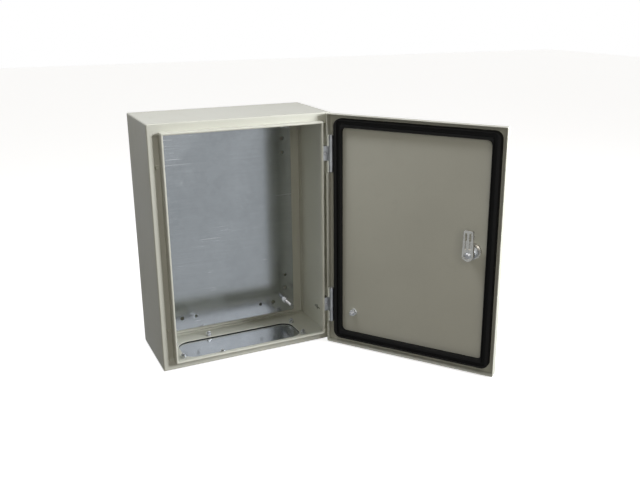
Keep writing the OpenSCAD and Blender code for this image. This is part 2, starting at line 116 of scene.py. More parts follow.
class SheetSettings(bpy.types.PropertyGroup):
    """How the sheet steel is folded."""
    sheet: length("Sheet", "Thickness of the sheet steel", 1.2)
    bend: length("Bend radius", "Outside radius of the outer bends", 2.2)
    fold: length("Fold radius", "Outside radius of the small folds", 1.4)
    fold_inside: length("Inside fold radius", "Inside radius of the small folds", 0.5)
    rim: length("Rim", "Width of the flat front rim at the sides", 9)
    rim_ends: length("Rim at the ends", "Width of the flat front rim at top and bottom", 13)
    channel: length("Channel", "Width of the rain channels", 9)
    channel_depth: length("Channel depth", "Depth of the rain channels", 6)
    channel_end: length("Channel end", "From the rain channels' ends to the box's top and bottom", 18)
    lip_reach: length("Lip reach", "How far the lip stands out in front of the rim", 11)
    lip_thick: length("Lip thickness", "Thickness of the lip's rolled edge", 4)
    lip_roll: length("Roll depth", "Depth of the lip's rolled edge", 6)
    gland_gap: length("Gland gap", "From the gland opening to the outside of its gasket", 3.8)
    gland_corner: length("Gland corner", "Corner radius of the gland opening", 20)
    edge: length("Cut edge", "Rounding of the painted cut edges", 0.22)


class GasketSettings(bpy.types.PropertyGroup):
    """The section of the foamed door gasket."""
    width: length("Width", "Width of the gasket", 14)
    corner: length("Corner radius", "Outside radius of its corners", 13)
    crown: length("Crown", "Rounding of the foam's shoulders", 2.2)
    lip_clear: length("Lip clearance", "Gap between the foam and the closed lip", 1.2)


class PartSettings(bpy.types.PropertyGroup):
    """Small parts."""
    plate_pitch: length("Plate thread", "Thread pitch of the plate studs", 1.0)
    gland_pitch: length("Gland thread", "Thread pitch of the gland studs", 0.8)
    lock_pitch: length("Lock thread", "Thread pitch of the lock housing", 1.5)
    cast_edge: length("Cast edge", "Rounding of the die-cast parts", 0.6)
    nut_edge: length("Nut edge", "Chamfer inside the nuts", 0.35)
    nut_play: length("Nut play", "Gap between a stud and its nut", 0.1)
    washer_play: length("Washer play", "Gap between a stud and its washer", 0.2)
    hinge_hole: length("Hinge hole", "Radius of the holes for the hinge screws", 2.2)
    hinge_nut: length("Hinge nut", "Radius of the bore of the hinge nuts", 2.1)
    hinge_room: length("Hinge room", "Room above and below the hinges in the door's folded edge", 0.7)
    pin: length("Pin", "Radius of the hinge pins", 1.75)
    pin_head: length("Pin head", "Thickness of the head of the hinge pins", 1.6)
    lock_hole: length("Lock hole", "Radius of the hole for the lock in the door", 10.2)
    lock_body: length("Lock body", "Radius of the lock housing", 10)
    lock_flange: length("Lock flange", "Thickness of the flange of the lock housing", 3)
    lock_bore: length("Lock bore", "Radius of the bore of the lock housing", 7.05)
    lock_seat: length("Lock seat", "Radius of the wider mouth of that bore", 8.55)
    lock_mouth: length("Lock mouth", "Depth of that mouth", 2)


class FinishSettings(bpy.types.PropertyGroup):
    """Colours and surface texture."""
    paint: shade("Paint", "Powder coat", 0.600, 0.600, 0.525)
    paint_texture: amount("Paint texture", "Strength of the powder coat's orange peel", 0.22)
    galvanised: shade("Galvanised", "Galvanised sheet", 0.54, 0.565, 0.59)
    scratches: amount("Scratches", "How strongly the galvanised sheet is scratched", 0.30)
    zinc: shade("Zinc plate", "Bright zinc-plated fasteners", 0.66, 0.67, 0.68)
    steel: shade("Steel", "Studs, pins and screws", 0.50, 0.50, 0.51)
    cast: shade("Cast zinc", "Die-cast hinges and lock housing", 0.42, 0.43, 0.44)
    nickel: shade("Nickel", "Nickel-plated lock parts", 0.66, 0.64, 0.60)
    foam: shade("Foam", "Foamed gasket", 0.007, 0.007, 0.007)
    plug: shade("Plug", "Plastic hole plugs", 0.58, 0.58, 0.48)
    mark: shade("Mark", "Printed earth mark", 0.03, 0.033, 0.02)


class StageSettings(bpy.types.PropertyGroup):
    """Camera, lamps and floor."""
    camera: vector("Camera", "Where the camera stands", -0.389, -1.256, 0.377,
                   subtype="TRANSLATION", unit="LENGTH")
    turn: vector("Turn", "How the camera is turned", *(math.radians(a) for a in (72.78, -0.14, -26.97)),
                 subtype="EULER", unit="ROTATION")
    lens: bpy.props.FloatProperty(name="Lens", description="Focal length on a 36 mm frame", default=42.9,
                                  min=10, unit="CAMERA")
    shift: vector("Shift", "How far the picture is shifted, in its widths", -0.045, -0.009)
    key: power("Key lamp", 25)
    top: power("Top lamp", 3.0)
    front: power("Front lamp", 2.9)
    ambient: amount("Ambient", "Strength of the light all round", 0.13, 2.0)
    ambient_colour: shade("Ambient colour", "Colour of the light all round", 1.0, 0.93, 0.80)
    floor: shade("Floor", "Colour of the floor as it is seen", 0.90, 0.90, 0.90)
    glow: amount("Floor glow", "How far the seen floor is raised towards white", 0.79)
    mirrored: shade("Mirrored floor", "Colour of the floor in gloss", 0.48, 0.50, 0.51)
    bounce: shade("Bounce", "Colour of the light that the floor throws back", 0.22, 0.20, 0.17)


def settings(group):
    return getattr(bpy.context.scene, "enclosure_" + group)


# ---- what the frame says ----

def loose_parts(node, turn=None):
    """(lowest corner, highest corner) of each separate solid of a CAD node, in order along X, then Z."""
    bm = bmesh.new()
    bm.from_mesh(frame["nodes"][node].data)
    if turn:
        bmesh.ops.transform(bm, matrix=turn, verts=bm.verts)
    bmesh.ops.remove_doubles(bm, verts=bm.verts, dist=1e-6)
    waiting = set(bm.verts)
    found = []
    while waiting:
        stack = [waiting.pop()]
        group = list(stack)
        while stack:
            for edge in stack.pop().link_edges:
                for vert in edge.verts:
                    if vert in waiting:
                        waiting.discard(vert)
                        stack.append(vert)
                        group.append(vert)
        low = Vector(min(v.co[i] for v in group) for i in range(3))
        high = Vector(max(v.co[i] for v in group) for i in range(3))
        found.append((low, high))
    bm.free()
    return sorted(found, key=lambda b: (round(b[0].x, 4), round(b[0].z, 4), round(b[0].y, 4)))


def closed_parts(node):
    """The same for a node on the door, measured with the door shut."""
    return loose_parts(node, TO_OPEN.inverted())


def middle(part):
    return (part[0] + part[1]) / 2


def radius_of(part):
    return (part[1].x - part[0].x) / 2


# ---- mesh tools ----

def arc(count, start, end):
    """Angles from start to end, in count steps, both ends included."""
    return [math.radians(start + (end - start) * i / count) for i in range(count + 1)]


def fillet(count, start=0, end=90):
    """Points of a fillet of radius 1, from (0, 1) at 0 degrees to (1, 0) at 90."""
    return [(1 - math.cos(a), 1 - math.sin(a)) for a in arc(count, start, end)]


def round_at(radius, y):
    """A circle of that radius at height y along the axis."""
    def place(turn):
        return Vector((radius * math.cos(turn), y, radius * math.sin(turn)))
    return place


def corner_at(half_w, half_h, radius, y):
    """A rectangle with round corners at height y."""
    def place(turn):
        quarter, within = divmod(turn / (math.pi / 2), 1)
        share = min(1.0, within * CORNER_STEPS / (CORNER_STEPS - 1))
        angle = (quarter + share) * math.pi / 2
        middle_angle = (quarter + 0.5) * math.pi / 2
        side = math.copysign(half_w - radius, math.cos(middle_angle))
        rise = math.copysign(half_h - radius, math.sin(middle_angle))
        return Vector((side + radius * math.cos(angle), y, rise + radius * math.sin(angle)))
    return place


def rounded(half_w, half_h):
    """Makes levels that lie within a rectangle, from an inset, a corner radius and a height."""
    return lambda inset, radius, y: corner_at(half_w - inset, half_h - inset, radius, y)


def hexagon_at(across, y, outward):
    """A hexagon whose corners are turned down to a cone. outward is the side that the cone faces."""
    face = across / 2 * HEX_FACE

    def place(turn):
        reach = across / 2 / math.cos(turn % (math.pi / 3) - math.pi / 6)
        drop = max(0.0, reach - face) * math.tan(math.radians(30))
        return Vector((reach * math.cos(turn), y - outward * drop, reach * math.sin(turn)))
    return place


def stack(levels, steps=4 * CORNER_STEPS, closed=False):
    """A solid from loops along Y. Each level places a loop's points, and closed joins the last to the first."""
    bm = bmesh.new()
    number = bm.verts.layers.int.new("number")
    verts = bmesh.ops.create_circle(bm, cap_ends=False, radius=1, segments=steps)["verts"]
    for vert in verts:
        vert[number] = round(math.atan2(vert.co.y, vert.co.x) / (2 * math.pi) * steps) % steps
    edges = list(bm.edges)
    first = edges
    for count, level in enumerate(levels):
        if count:
            made = bmesh.ops.extrude_edge_only(bm, edges=edges)["geom"]
            verts = [g for g in made if isinstance(g, bmesh.types.BMVert)]
            fresh = set(verts)
            edges = [g for g in made if isinstance(g, bmesh.types.BMEdge) and fresh.issuperset(g.verts)]
        for vert in verts:
            vert.co = level(vert[number] / steps * 2 * math.pi)
    if not closed:
        for loop in (first, edges):
            bmesh.ops.edgeloop_fill(bm, edges=loop)
    bmesh.ops.remove_doubles(bm, verts=bm.verts, dist=1e-7)
    bmesh.ops.dissolve_degenerate(bm, edges=bm.edges, dist=1e-7)
    bmesh.ops.recalc_face_normals(bm, faces=bm.faces)
    return bm


def turned(points, steps=ROUND_STEPS, closed=False):
    """A turned solid from (radius, y) points."""
    return stack([round_at(radius, y) for radius, y in points], steps, closed)


def drill(radius, steps):
    """A cylinder that cuts a hole through a sheet at height 0."""
    return turned([(radius, -REACH), (radius, REACH)], steps)


def ring(inner, outer, y0, y1, edge):
    """A turned ring with eased edges."""
    return turned([(inner, y0 + edge), (inner + edge, y0), (outer - edge, y0), (outer, y0 + edge),
                   (outer, y1 - edge), (outer - edge, y1), (inner + edge, y1), (inner, y1 - edge),
                   (inner, y0 + edge)], closed=True)


def nut(across, bore, y0, y1):
    """A hexagon nut with chamfered corners and bore."""
    edge = settings("parts").nut_edge
    face = across / 2 * HEX_FACE
    levels = [round_at(bore, y0 + edge), round_at(bore + edge, y0), round_at(face, y0),
              hexagon_at(across, y0, -1), hexagon_at(across, y1, 1),
              round_at(face, y1), round_at(bore + edge, y1), round_at(bore, y1 - edge),
              round_at(bore, y0 + edge)]
    return stack(levels, HEX_STEPS, closed=True)


def threaded(radius, pitch, y0, y1, steps=18):
    """A threaded rod from y0 to y1, with both ends chamfered."""
    root = radius - 0.6 * pitch
    bm = bmesh.new()
    # the thread's section: (radius, share of the pitch)
    profile = [(root, 0), (root, 0.14), (radius, 0.46), (radius, 0.60), (root, 0.92), (root, 1)]
    start = y0 - 1.5 * pitch
    verts = [bm.verts.new((r, start + p * pitch, 0)) for r, p in profile]
    edges = [bm.edges.new(pair) for pair in zip(verts, verts[1:])]
    turns = math.ceil((y1 - y0) / pitch) + 3
    bmesh.ops.spin(bm, geom=verts + edges, cent=(0, 0, 0), axis=(0, 1, 0), dvec=(0, pitch / steps, 0),
                   angle=2 * math.pi * turns, steps=turns * steps, use_merge=False, use_duplicate=False)
    bmesh.ops.remove_doubles(bm, verts=bm.verts, dist=1e-6)
    for y, side in ((y0, -1), (y1, 1)):
        everything = bm.verts[:] + bm.edges[:] + bm.faces[:]
        cut = bmesh.ops.bisect_plane(bm, geom=everything, plane_co=(0, y, 0), plane_no=(0, side, 0),
                                     clear_outer=True, dist=1e-7)["geom_cut"]
        rim = [g for g in cut if isinstance(g, bmesh.types.BMEdge)]
        bmesh.ops.holes_fill(bm, edges=rim, sides=0)
    for vert in bm.verts:
        inside = min(vert.co.y - y0, y1 - vert.co.y)
        limit = root + inside
        reach = math.hypot(vert.co.x, vert.co.z)
        if reach > limit:
            vert.co.x *= limit / reach
            vert.co.z *= limit / reach
    bmesh.ops.recalc_face_normals(bm, faces=bm.faces)
    return bm


def moved(bm, matrix):
    bmesh.ops.transform(bm, matrix=matrix, verts=bm.verts)
    return bm


def at(x, y, z):
    return Matrix.Translation((x, y, z))


def block(low, high):
    bm = bmesh.new()
    bmesh.ops.create_cube(bm, size=1)
    size = Vector(high) - Vector(low)
    bmesh.ops.scale(bm, vec=size, verts=bm.verts)
    bmesh.ops.translate(bm, vec=(Vector(high) + Vector(low)) / 2, verts=bm.verts)
    return bm


def gathered(parts):
    """Several meshes as one, and the parts are freed."""
    whole = bmesh.new()
    for part in parts:
        mesh = bpy.data.meshes.new("part")
        part.to_mesh(mesh)
        part.free()
        whole.from_mesh(mesh)
        bpy.data.meshes.remove(mesh)
    return whole


def eased(bm, offset, segments=2, least=40):
    """Rounds the edges that turn by more than the least angle, in degrees."""
    sharp = [e for e in bm.edges if len(e.link_faces) == 2 and e.calc_face_angle(0) > math.radians(least)]
    bmesh.ops.bevel(bm, geom=sharp, offset=offset, offset_type="OFFSET", segments=segments,
                    profile=0.5, affect="EDGES", clamp_overlap=True, material=-1)
    bmesh.ops.remove_doubles(bm, verts=bm.verts, dist=1e-7)
    return bm


def from_node(node, offset, segments=2):
    """A copy of a CAD node with its flat faces joined and its sharp edges rounded."""
    bm = bmesh.new()
    bm.from_mesh(frame["nodes"][node].data)
    bmesh.ops.remove_doubles(bm, verts=bm.verts, dist=1e-6)
    bmesh.ops.dissolve_limit(bm, angle_limit=math.radians(0.3), use_dissolve_boundaries=False,
                             verts=bm.verts, edges=bm.edges, delimit={"NORMAL"})
    return eased(bm, offset, segments)


def cut_out(bm, others, operation="DIFFERENCE"):
    """The mesh less the other meshes, or joined with them, by an exact boolean."""
    objects = []
    for label, source in (("blank", bm), ("other", gathered(others))):
        mesh = bpy.data.meshes.new(label)
        source.to_mesh(mesh)
        source.free()
        obj = bpy.data.objects.new(label, mesh)
        bpy.context.scene.collection.objects.link(obj)
        objects.append(obj)
    boolean = objects[0].modifiers.new("Cut", "BOOLEAN")
    boolean.operation = operation
    boolean.solver = "EXACT"
    boolean.object = objects[1]
    evaluated = objects[0].evaluated_get(bpy.context.evaluated_depsgraph_get())
    result = bmesh.new()
    result.from_mesh(evaluated.to_mesh())
    evaluated.to_mesh_clear()
    for obj in objects:
        mesh = obj.data
        bpy.data.objects.remove(obj)
        bpy.data.meshes.remove(mesh)
    if len(result.faces) < 6:
        raise RuntimeError("the boolean left nothing")
    bmesh.ops.remove_doubles(result, verts=result.verts, dist=1e-7)
    return result


def finished(bm, name, body, slot, material, *nodes, smooth=35):
    """Makes the object with its finish, and hides the CAD nodes that it stands for."""
    mesh = bpy.data.meshes.new(name)
    bm.to_mesh(mesh)
    bm.free()
    if not mesh.polygons:
        raise RuntimeError(name + " has no faces")
    mesh.polygons.foreach_set("use_smooth", [True] * len(mesh.polygons))
    mesh.set_sharp_from_angle(angle=math.radians(smooth))
    mesh.materials.clear()
    mesh.materials.append(material)
    obj = bpy.data.objects.new(name, mesh)
    bpy.context.scene.collection.objects.link(obj)
    weighted = obj.modifiers.new("Weighted normals", "WEIGHTED_NORMAL")
    weighted.keep_sharp = True
    weighted.weight = 100
    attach(obj, body)
    if nodes:
        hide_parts(*nodes)


# ---- materials ----

class Shader:
    """A material in the making: its tree, its surface and short ways to add nodes."""

    def __init__(self, name, colour, roughness, metallic=0.0, specular=0.5):
        self.material = bpy.data.materials.new(name)
        self.material.use_nodes = True
        self.tree = self.material.node_tree
        self.surface = self.tree.nodes["Principled BSDF"]
        for key, value in (("Base Color", (*colour, 1)), ("Roughness", roughness), ("Metallic", metallic),
                           ("Specular IOR Level", specular)):
            self.surface.inputs[key].default_value = value
        self.colour = colour
        self.place = self.tree.nodes.new("ShaderNodeTexCoord").outputs["Object"]

    def give(self, socket, value):
        """Links the socket, or sets its value."""
        if isinstance(value, bpy.types.NodeSocket):
            self.tree.links.new(value, socket)
        elif value is not None:
            socket.default_value = value

    def add(self, kind, **values):
        """A new node with its inputs. Underscores stand for the spaces in their names."""
        node = self.tree.nodes.new("ShaderNode" + kind)
        for key, value in values.items():
            self.give(node.inputs[key.replace("_", " ")], value)
        return node

    def stretched(self, scale, turn=(0, 0, 0)):
        """Object coordinates, scaled and turned."""
        return self.add("Mapping", Scale=scale, Rotation=turn, Vector=self.place).outputs["Vector"]

    def noise(self, scale, detail=2.0, roughness=0.5, vector=None, distortion=0.0):
        return self.add("TexNoise", Scale=scale, Detail=detail, Roughness=roughness, Distortion=distortion,
                        Vector=vector or self.place).outputs["Fac"]

    def cells(self, scale, output="Distance"):
        return self.add("TexVoronoi", Scale=scale, Vector=self.place).outputs[output]

    def ramp(self, value, low, high, start=0.0, end=1.0):
        """The value, mapped from low..high to start..end and held there."""
        node = self.add("MapRange", Value=value, From_Min=low, From_Max=high, To_Min=start, To_Max=end)
        node.interpolation_type = "SMOOTHSTEP"
        return node.outputs["Result"]

    def math(self, operation, first, second):
        node = self.add("Math")
        node.operation = operation
        self.give(node.inputs[0], first)
        self.give(node.inputs[1], second)
        return node.outputs["Value"]

    def blend(self, factor, first, second):
        node = self.add("Mix")
        node.data_type = "RGBA"
        for key, value in (("Factor_Float", factor), ("A_Color", first), ("B_Color", second)):
            socket = next(s for s in node.inputs if s.identifier == key)
            self.give(socket, (*value, 1) if isinstance(value, tuple) else value)
        return next(s for s in node.outputs if s.identifier == "Result_Color")

    def tint(self, share):
        return tuple(min(1.0, c * share) for c in self.colour)

    def bump(self, height, strength, distance, before=None):
        return self.add("Bump", Strength=strength, Distance=distance, Height=height,
                        Normal=before).outputs["Normal"]

    def done(self, colour, roughness, normal=None):
        for key, value in (("Base Color", colour), ("Roughness", roughness), ("Normal", normal)):
            self.give(self.surface.inputs[key], value)
        return self.material


def known(make):
    """The material that a function makes, made once."""
    name = "Finish: " + make.__name__.replace("_", " ")
    return bpy.data.materials.get(name) or make(name)


def powder_coat(name):
    """Light grey polyester powder coat: fine orange peel, faint clouds and a few rubbed patches."""
    finish = settings("finish")
    s = Shader(name, finish.paint, 0.42)
    clouds = s.noise(7, 4, 0.55)
    grains = s.noise(1500, 2, 0.6)
    colour = s.blend(s.ramp(clouds, 0.3, 0.7), s.tint(0.965), s.tint(1.02))
    colour = s.blend(s.ramp(grains, 0.35, 0.65, 0.0, 0.5), colour, s.tint(0.93))
    dust = s.ramp(s.noise(38, 5, 0.65, distortion=0.6), 0.56, 0.74, 0.0, 0.35)
    colour = s.blend(dust, colour, s.tint(0.90))
    roughness = s.math("ADD", s.ramp(clouds, 0.3, 0.7, 0.36, 0.46), s.math("MULTIPLY", dust, 0.22))
    peel = s.math("ADD", s.noise(520, 2, 0.5), s.math("MULTIPLY", grains, 0.35))
    normal = s.bump(peel, finish.paint_texture, 0.00016)
    return s.done(colour, roughness, normal)


def galvanised(name):
    """Hot-dip galvanised sheet: satin, with soft spangle, fine rolling lines, scratches and a few spots."""
    finish = settings("finish")
    s = Shader(name, finish.galvanised, 0.17, metallic=1.0)
    crystals = s.ramp(s.add("RGBToBW", Color=s.cells(110, output="Color")).outputs["Val"], 0.1, 0.9)
    clouds = s.ramp(s.noise(9, 4, 0.6, distortion=0.4), 0.3, 0.7)
    rolling = s.noise(1, 4, 0.7, vector=s.stretched((5, 5, 700)))
    patches = s.ramp(s.noise(11, 3, 0.6), 0.46, 0.64)
    fine = s.noise(1, 2, 0.6, vector=s.stretched((22, 22, 1300)))
    hairlines = s.math("MULTIPLY", s.ramp(fine, 0.60, 0.74), patches)
    coarse = s.noise(1, 0, vector=s.stretched((11, 11, 330), turn=(0, math.radians(0.6), 0)))
    scratches = s.ramp(coarse, 0.80, 0.85)
    spots = s.math("MULTIPLY", s.ramp(s.cells(24), 0.03, 0.17, 0.7, 0.0), s.ramp(s.noise(17, 1), 0.55, 0.66))
    lines = s.math("MAXIMUM", hairlines, scratches)
    marks = s.math("MULTIPLY", s.math("MAXIMUM", lines, spots), finish.scratches)
    colour = s.blend(clouds, s.tint(0.93), s.tint(1.05))
    colour = s.blend(s.math("MULTIPLY", crystals, 0.3), colour, s.tint(1.12))
    colour = s.blend(s.ramp(rolling, 0.35, 0.7, 0.0, 0.5), colour, s.tint(0.90))
    colour = s.blend(marks, colour, (0.86, 0.87, 0.88))
    roughness = s.math("ADD", s.ramp(clouds, 0.0, 1.0, 0.15, 0.20), s.math("MULTIPLY", marks, 0.35))
    height = s.math("ADD", s.math("MULTIPLY", crystals, 0.5), rolling)
    return s.done(colour, roughness, s.bump(height, 0.05, 0.0002))


def plated(name, colour, roughness, mottle, wear=0.12):
    """Plated metal with a fine grain and faint stains."""
    s = Shader(name, colour, roughness, metallic=1.0)
    grain = s.noise(mottle * 8, 2, 0.6)
    stains = s.noise(mottle, 4, 0.6)
    tone = s.blend(s.ramp(stains, 0.35, 0.7), s.tint(1.05), s.tint(0.80))
    tone = s.blend(s.ramp(grain, 0.4, 0.65, 0.0, 0.5), tone, s.tint(0.9))
    rough = s.ramp(stains, 0.3, 0.75, roughness - wear / 2, roughness + wear)
    return s.done(tone, rough, s.bump(grain, 0.12, 0.00005))


def zinc_plate(name):
    return plated(name, settings("finish").zinc, 0.26, 260)


def bright_steel(name):
    return plated(name, settings("finish").steel, 0.30, 300, 0.16)


def nickel_plate(name):
    return plated(name, settings("finish").nickel, 0.24, 180, 0.10)


def cast_zinc(name):
    """Die-cast zinc: a slightly grainy skin with flow marks."""
    s = Shader(name, settings("finish").cast, 0.40, metallic=1.0)
    flow = s.noise(120, 4, 0.6, vector=s.stretched((1, 1, 0.45)), distortion=1.2)
    grain = s.noise(1400, 3, 0.6)
    tone = s.blend(s.ramp(flow, 0.3, 0.7), s.tint(0.80), s.tint(1.12))
    rough = s.ramp(flow, 0.3, 0.7, 0.34, 0.50)
    height = s.math("ADD", s.math("MULTIPLY", grain, 0.5), flow)
    return s.done(tone, rough, s.bump(height, 0.25, 0.00009))


def foam_rubber(name):
    """Foamed polyurethane: black, closed skin with fine pores."""
    s = Shader(name, settings("finish").foam, 0.66, specular=0.16)
    pores = s.ramp(s.cells(900), 0.12, 0.42)
    swell = s.noise(70, 3, 0.6)
    tone = s.blend(s.ramp(swell, 0.3, 0.7), s.tint(0.7), s.tint(1.6))
    tone = s.blend(s.ramp(pores, 0.0, 1.0, 0.6, 0.0), tone, s.tint(0.5))
    rough = s.ramp(swell, 0.3, 0.7, 0.55, 0.72)
    normal = s.bump(pores, 0.25, 0.00012)
    return s.done(tone, rough, s.bump(swell, 0.25, 0.0006, normal))


def moulded_plastic(name):
    s = Shader(name, settings("finish").plug, 0.45)
    grain = s.noise(1300, 2, 0.5)
    clouds = s.noise(200, 2)
    tone = s.blend(s.ramp(clouds, 0.3, 0.7), s.tint(0.93), s.tint(1.04))
    return s.done(tone, s.ramp(clouds, 0.3, 0.7, 0.40, 0.52), s.bump(grain, 0.2, 0.00006))


def print_ink(name):
    s = Shader(name, settings("finish").mark, 0.5)
    grain = s.noise(2500, 2, 0.6)
    tone = s.blend(s.ramp(grain, 0.4, 0.7), s.tint(1.0), s.tint(1.8))
    return s.done(tone, s.ramp(grain, 0.3, 0.7, 0.42, 0.58))


FINISHES = {
    "paint": powder_coat,
    "galvanised": galvanised,
    "zinc_plated": zinc_plate,
    "steel": bright_steel,
    "foam": foam_rubber,
    "cast_zinc": cast_zinc,
    "nickel": nickel_plate,
    "plug": moulded_plastic,
}


def piece(bm, node, ending, body, slot, **extra):
    """The piece that stands for a CAD node. Its name is the node's, with an ending that says how it is made."""
    finished(bm, node + "_" + ending, body, slot, known(FINISHES[slot]), node, **extra)


def copied(node, ending, body, slot, rounding, segments=2):
    """The same for a node whose own mesh will do, with its edges rounded."""
    piece(from_node(node, rounding, segments), node, ending, body, slot)


# ---- the box ----

def wrapper_levels():
    """The folded section of the body: wall, rim, lip and rolled edge, and back again inside."""
    f = settings("sheet")
    low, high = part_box("body_wrapper")
    lip_y, rim_y, end_y = low.y, low.y + f.lip_reach, low.y + f.lip_roll
    t, bend, fold, tight = f.sheet, f.bend, f.fold, f.fold_inside
    soft = bend - t                    # inside radius of the outer bend
    ease = 0.2 * MM                    # of the rolled edge's end
    lap = 1.6 * MM                     # how far the rolled edge's end stands off the lip
    roll = f.lip_thick / 2
    inner = bend - 0.6 * roll          # corner radius inside the lip
    wall = rounded(high.x, high.z)
    lip = rounded(high.x - f.rim - f.channel, high.z - f.rim_ends)
    return [
        wall(0, bend, 0),
        # wall to rim, rim to lip, and the rolled edge
        *(wall(bend * x, bend - bend * x, rim_y + bend * y) for x, y in fillet(6)),
        *(lip(-tight * y, bend + tight * y, rim_y - tight * x) for x, y in fillet(4)),
        *(lip(roll * x, bend - 0.3 * roll * x, lip_y + roll * y) for x, y in fillet(12, 0, 180)),
        lip(f.lip_thick, inner, end_y - ease),
        lip(f.lip_thick - ease, inner, end_y),
        lip(f.lip_thick - t, inner, end_y),
        lip(f.lip_thick - t, inner, end_y - lap),
        lip(t, inner, end_y - lap),
        # lip to the back of the rim, and the inside of the outer bend
        *(lip(t - fold * x, inner, rim_y + t - fold * y) for x, y in fillet(5)),
        *(wall(t + soft * x, soft - soft * x, rim_y + t + soft * y) for x, y in fillet(4, 90, 0)),
        wall(t, soft, 0),
        wall(0, bend, 0),
    ]


def channel_shapes():
    """(solid troughs, their hollows) of the rain channels, the hollows opening in a fold at the rim."""
    f = settings("sheet")
    low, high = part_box("body_wrapper")
    rim_y = low.y + f.lip_reach
    floor_y = rim_y + f.channel_depth
    half_w, half_h, t, fold = f.channel / 2, high.z - f.channel_end, f.sheet, f.fold
    centre = high.x - f.rim - half_w
    tight, corner = f.fold_inside, 1.5 * MM
    outside = rounded(half_w + t, half_h + t)
    trough = [outside(0, corner + t, rim_y + t / 2)]
    trough += [outside(fold * x, corner + t - fold * x, floor_y + t - fold * y) for x, y in fillet(4)]
    section = [(-tight * y, floor_y - tight * x) for x, y in fillet(3)]
    section += [(fold * x, rim_y + fold * y) for x, y in fillet(4, 0, 70)]
    section.append((section[-1][0], rim_y - 2 * MM))
    troughs, hollows = [], []
    for side in SIDES:
        troughs.append(moved(stack(trough), at(side * centre, 0, 0)))
        hollow = []
        for grow, y in section:                   # the lip's side stays upright
            shift = Vector((side * max(0.0, grow) / 2, 0, 0))
            place = corner_at(half_w + min(grow, grow / 2), half_h + grow, corner + grow, y)
            hollow.append(lambda turn, place=place, shift=shift: place(turn) + shift)
        hollows.append(moved(stack(hollow), at(side * centre, 0, 0)))
    return troughs, hollows


def hinge_hole_cutters():
    f = settings("sheet")
    floor_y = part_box("body_wrapper")[0].y + f.lip_reach + f.channel_depth
    spots = [middle(p) for p in loose_parts("hinge_screws") + loose_parts("hinge_hole_plugs")]
    radius = settings("parts").hinge_hole
    return [moved(drill(radius, 32), at(p.x, floor_y, p.z)) for p in spots]


def gland_cutters():
    f = settings("sheet")
    bottom = -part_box("body_wrapper")[1].z
    low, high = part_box("gland_gasket")
    half_w, half_d = (high.x - low.x) / 2 - f.gland_gap, (high.y - low.y) / 2 - f.gland_gap
    opening = stack([corner_at(half_w, half_d, f.gland_corner, y) for y in (-REACH, REACH)])
    cutters = [moved(opening, at(0, (low.y + high.y) / 2, bottom) @ UPRIGHT)]
    for part in loose_parts("gland_studs"):
        spot = middle(part)
        radius = radius_of(part) + GLAND_HOLE_PLAY
        cutters.append(moved(drill(radius, 24), at(spot.x, spot.y, bottom) @ UPRIGHT))
    return cutters


class ENCLOSURE_OT_body(bpy.types.Operator):
    """Fold the body wrapper with its rim, rain channels and sealing lip"""
    bl_idname = "enclosure.body"
    bl_label = "Body wrapper"

    def execute(self, context):
        troughs, hollows = channel_shapes()
        blank = cut_out(stack(wrapper_levels(), closed=True), troughs, "UNION")
        bm = cut_out(blank, hollows + hinge_hole_cutters() + gland_cutters())
        eased(bm, settings("sheet").edge, least=60)
        piece(bm, "body_wrapper", "folded", "box", "paint")
        return {"FINISHED"}


class ENCLOSURE_OT_back(bpy.types.Operator):
    """Fold the back panel with its wall holes"""
    bl_idname = "enclosure.back"
    bl_label = "Back panel"

    def execute(self, context):
        f = settings("sheet")
        low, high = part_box("back_panel")
        t, soft, small = f.sheet, f.bend - f.sheet, 0.3 * MM
        panel = rounded(high.x, high.z)
        blank = stack([*(panel(soft * x, soft - soft * x, -soft * y) for x, y in fillet(5, 90, 0)),
                       panel(0, soft, low.y), panel(t, small, low.y),
                       panel(t, small, -t - small), panel(t + small, 0, -t)])
        mount = next(m for m in frame["record"]["mounts"] if m["name"] == "wall_holes")["dims"]
        spread = (mount["spacing_x_mm"] * MM / 2, mount["spacing_y_mm"] * MM / 2)
        radius = mount["hole_r_mm"] * MM
        holes = [moved(drill(radius, 40), at(sx * spread[0], 0, sz * spread[1])) for sx in SIDES for sz in SIDES]
        bm = cut_out(blank, holes)
        eased(bm, f.edge, least=60)
        piece(bm, "back_panel", "folded", "box", "paint")
        return {"FINISHED"}


class ENCLOSURE_OT_plate(bpy.types.Operator):
    """Make the galvanised mounting plate with eased edges"""
    bl_idname = "enclosure.plate"
    bl_label = "Mounting plate"

    def execute(self, context):
        copied("mounting_plate", "sheared", "box", "galvanised", 0.3 * MM)
        return {"FINISHED"}


def fixings(node, slot, make, upright=False, on_door=False):
    """Makes a node's like parts, each from its width across and its two ends along its axis."""
    parts = []
    for low, high in closed_parts(node) if on_door else loose_parts(node):
        spot = middle((low, high))
        if upright:
            part = moved(make(high.y - low.y, -high.z, -low.z), at(spot.x, spot.y, 0) @ UPRIGHT.inverted())
        else:
            part = moved(make(high.z - low.z, low.y, high.y), at(spot.x, 0, spot.z))
        parts.append(moved(part, TO_OPEN) if on_door else part)
    piece(gathered(parts), node, "turned", "door" if on_door else "box", slot)


def studs(radius, pitch, steps=18):
    return lambda across, y0, y1: threaded(radius, pitch, y0, y1, steps)


def washers(bore, edge=0.25 * MM):
    return lambda across, y0, y1: ring(bore, across / 2, y0, y1, edge)


def nuts(bore):
    return lambda across, y0, y1: nut(across, bore, y0, y1)


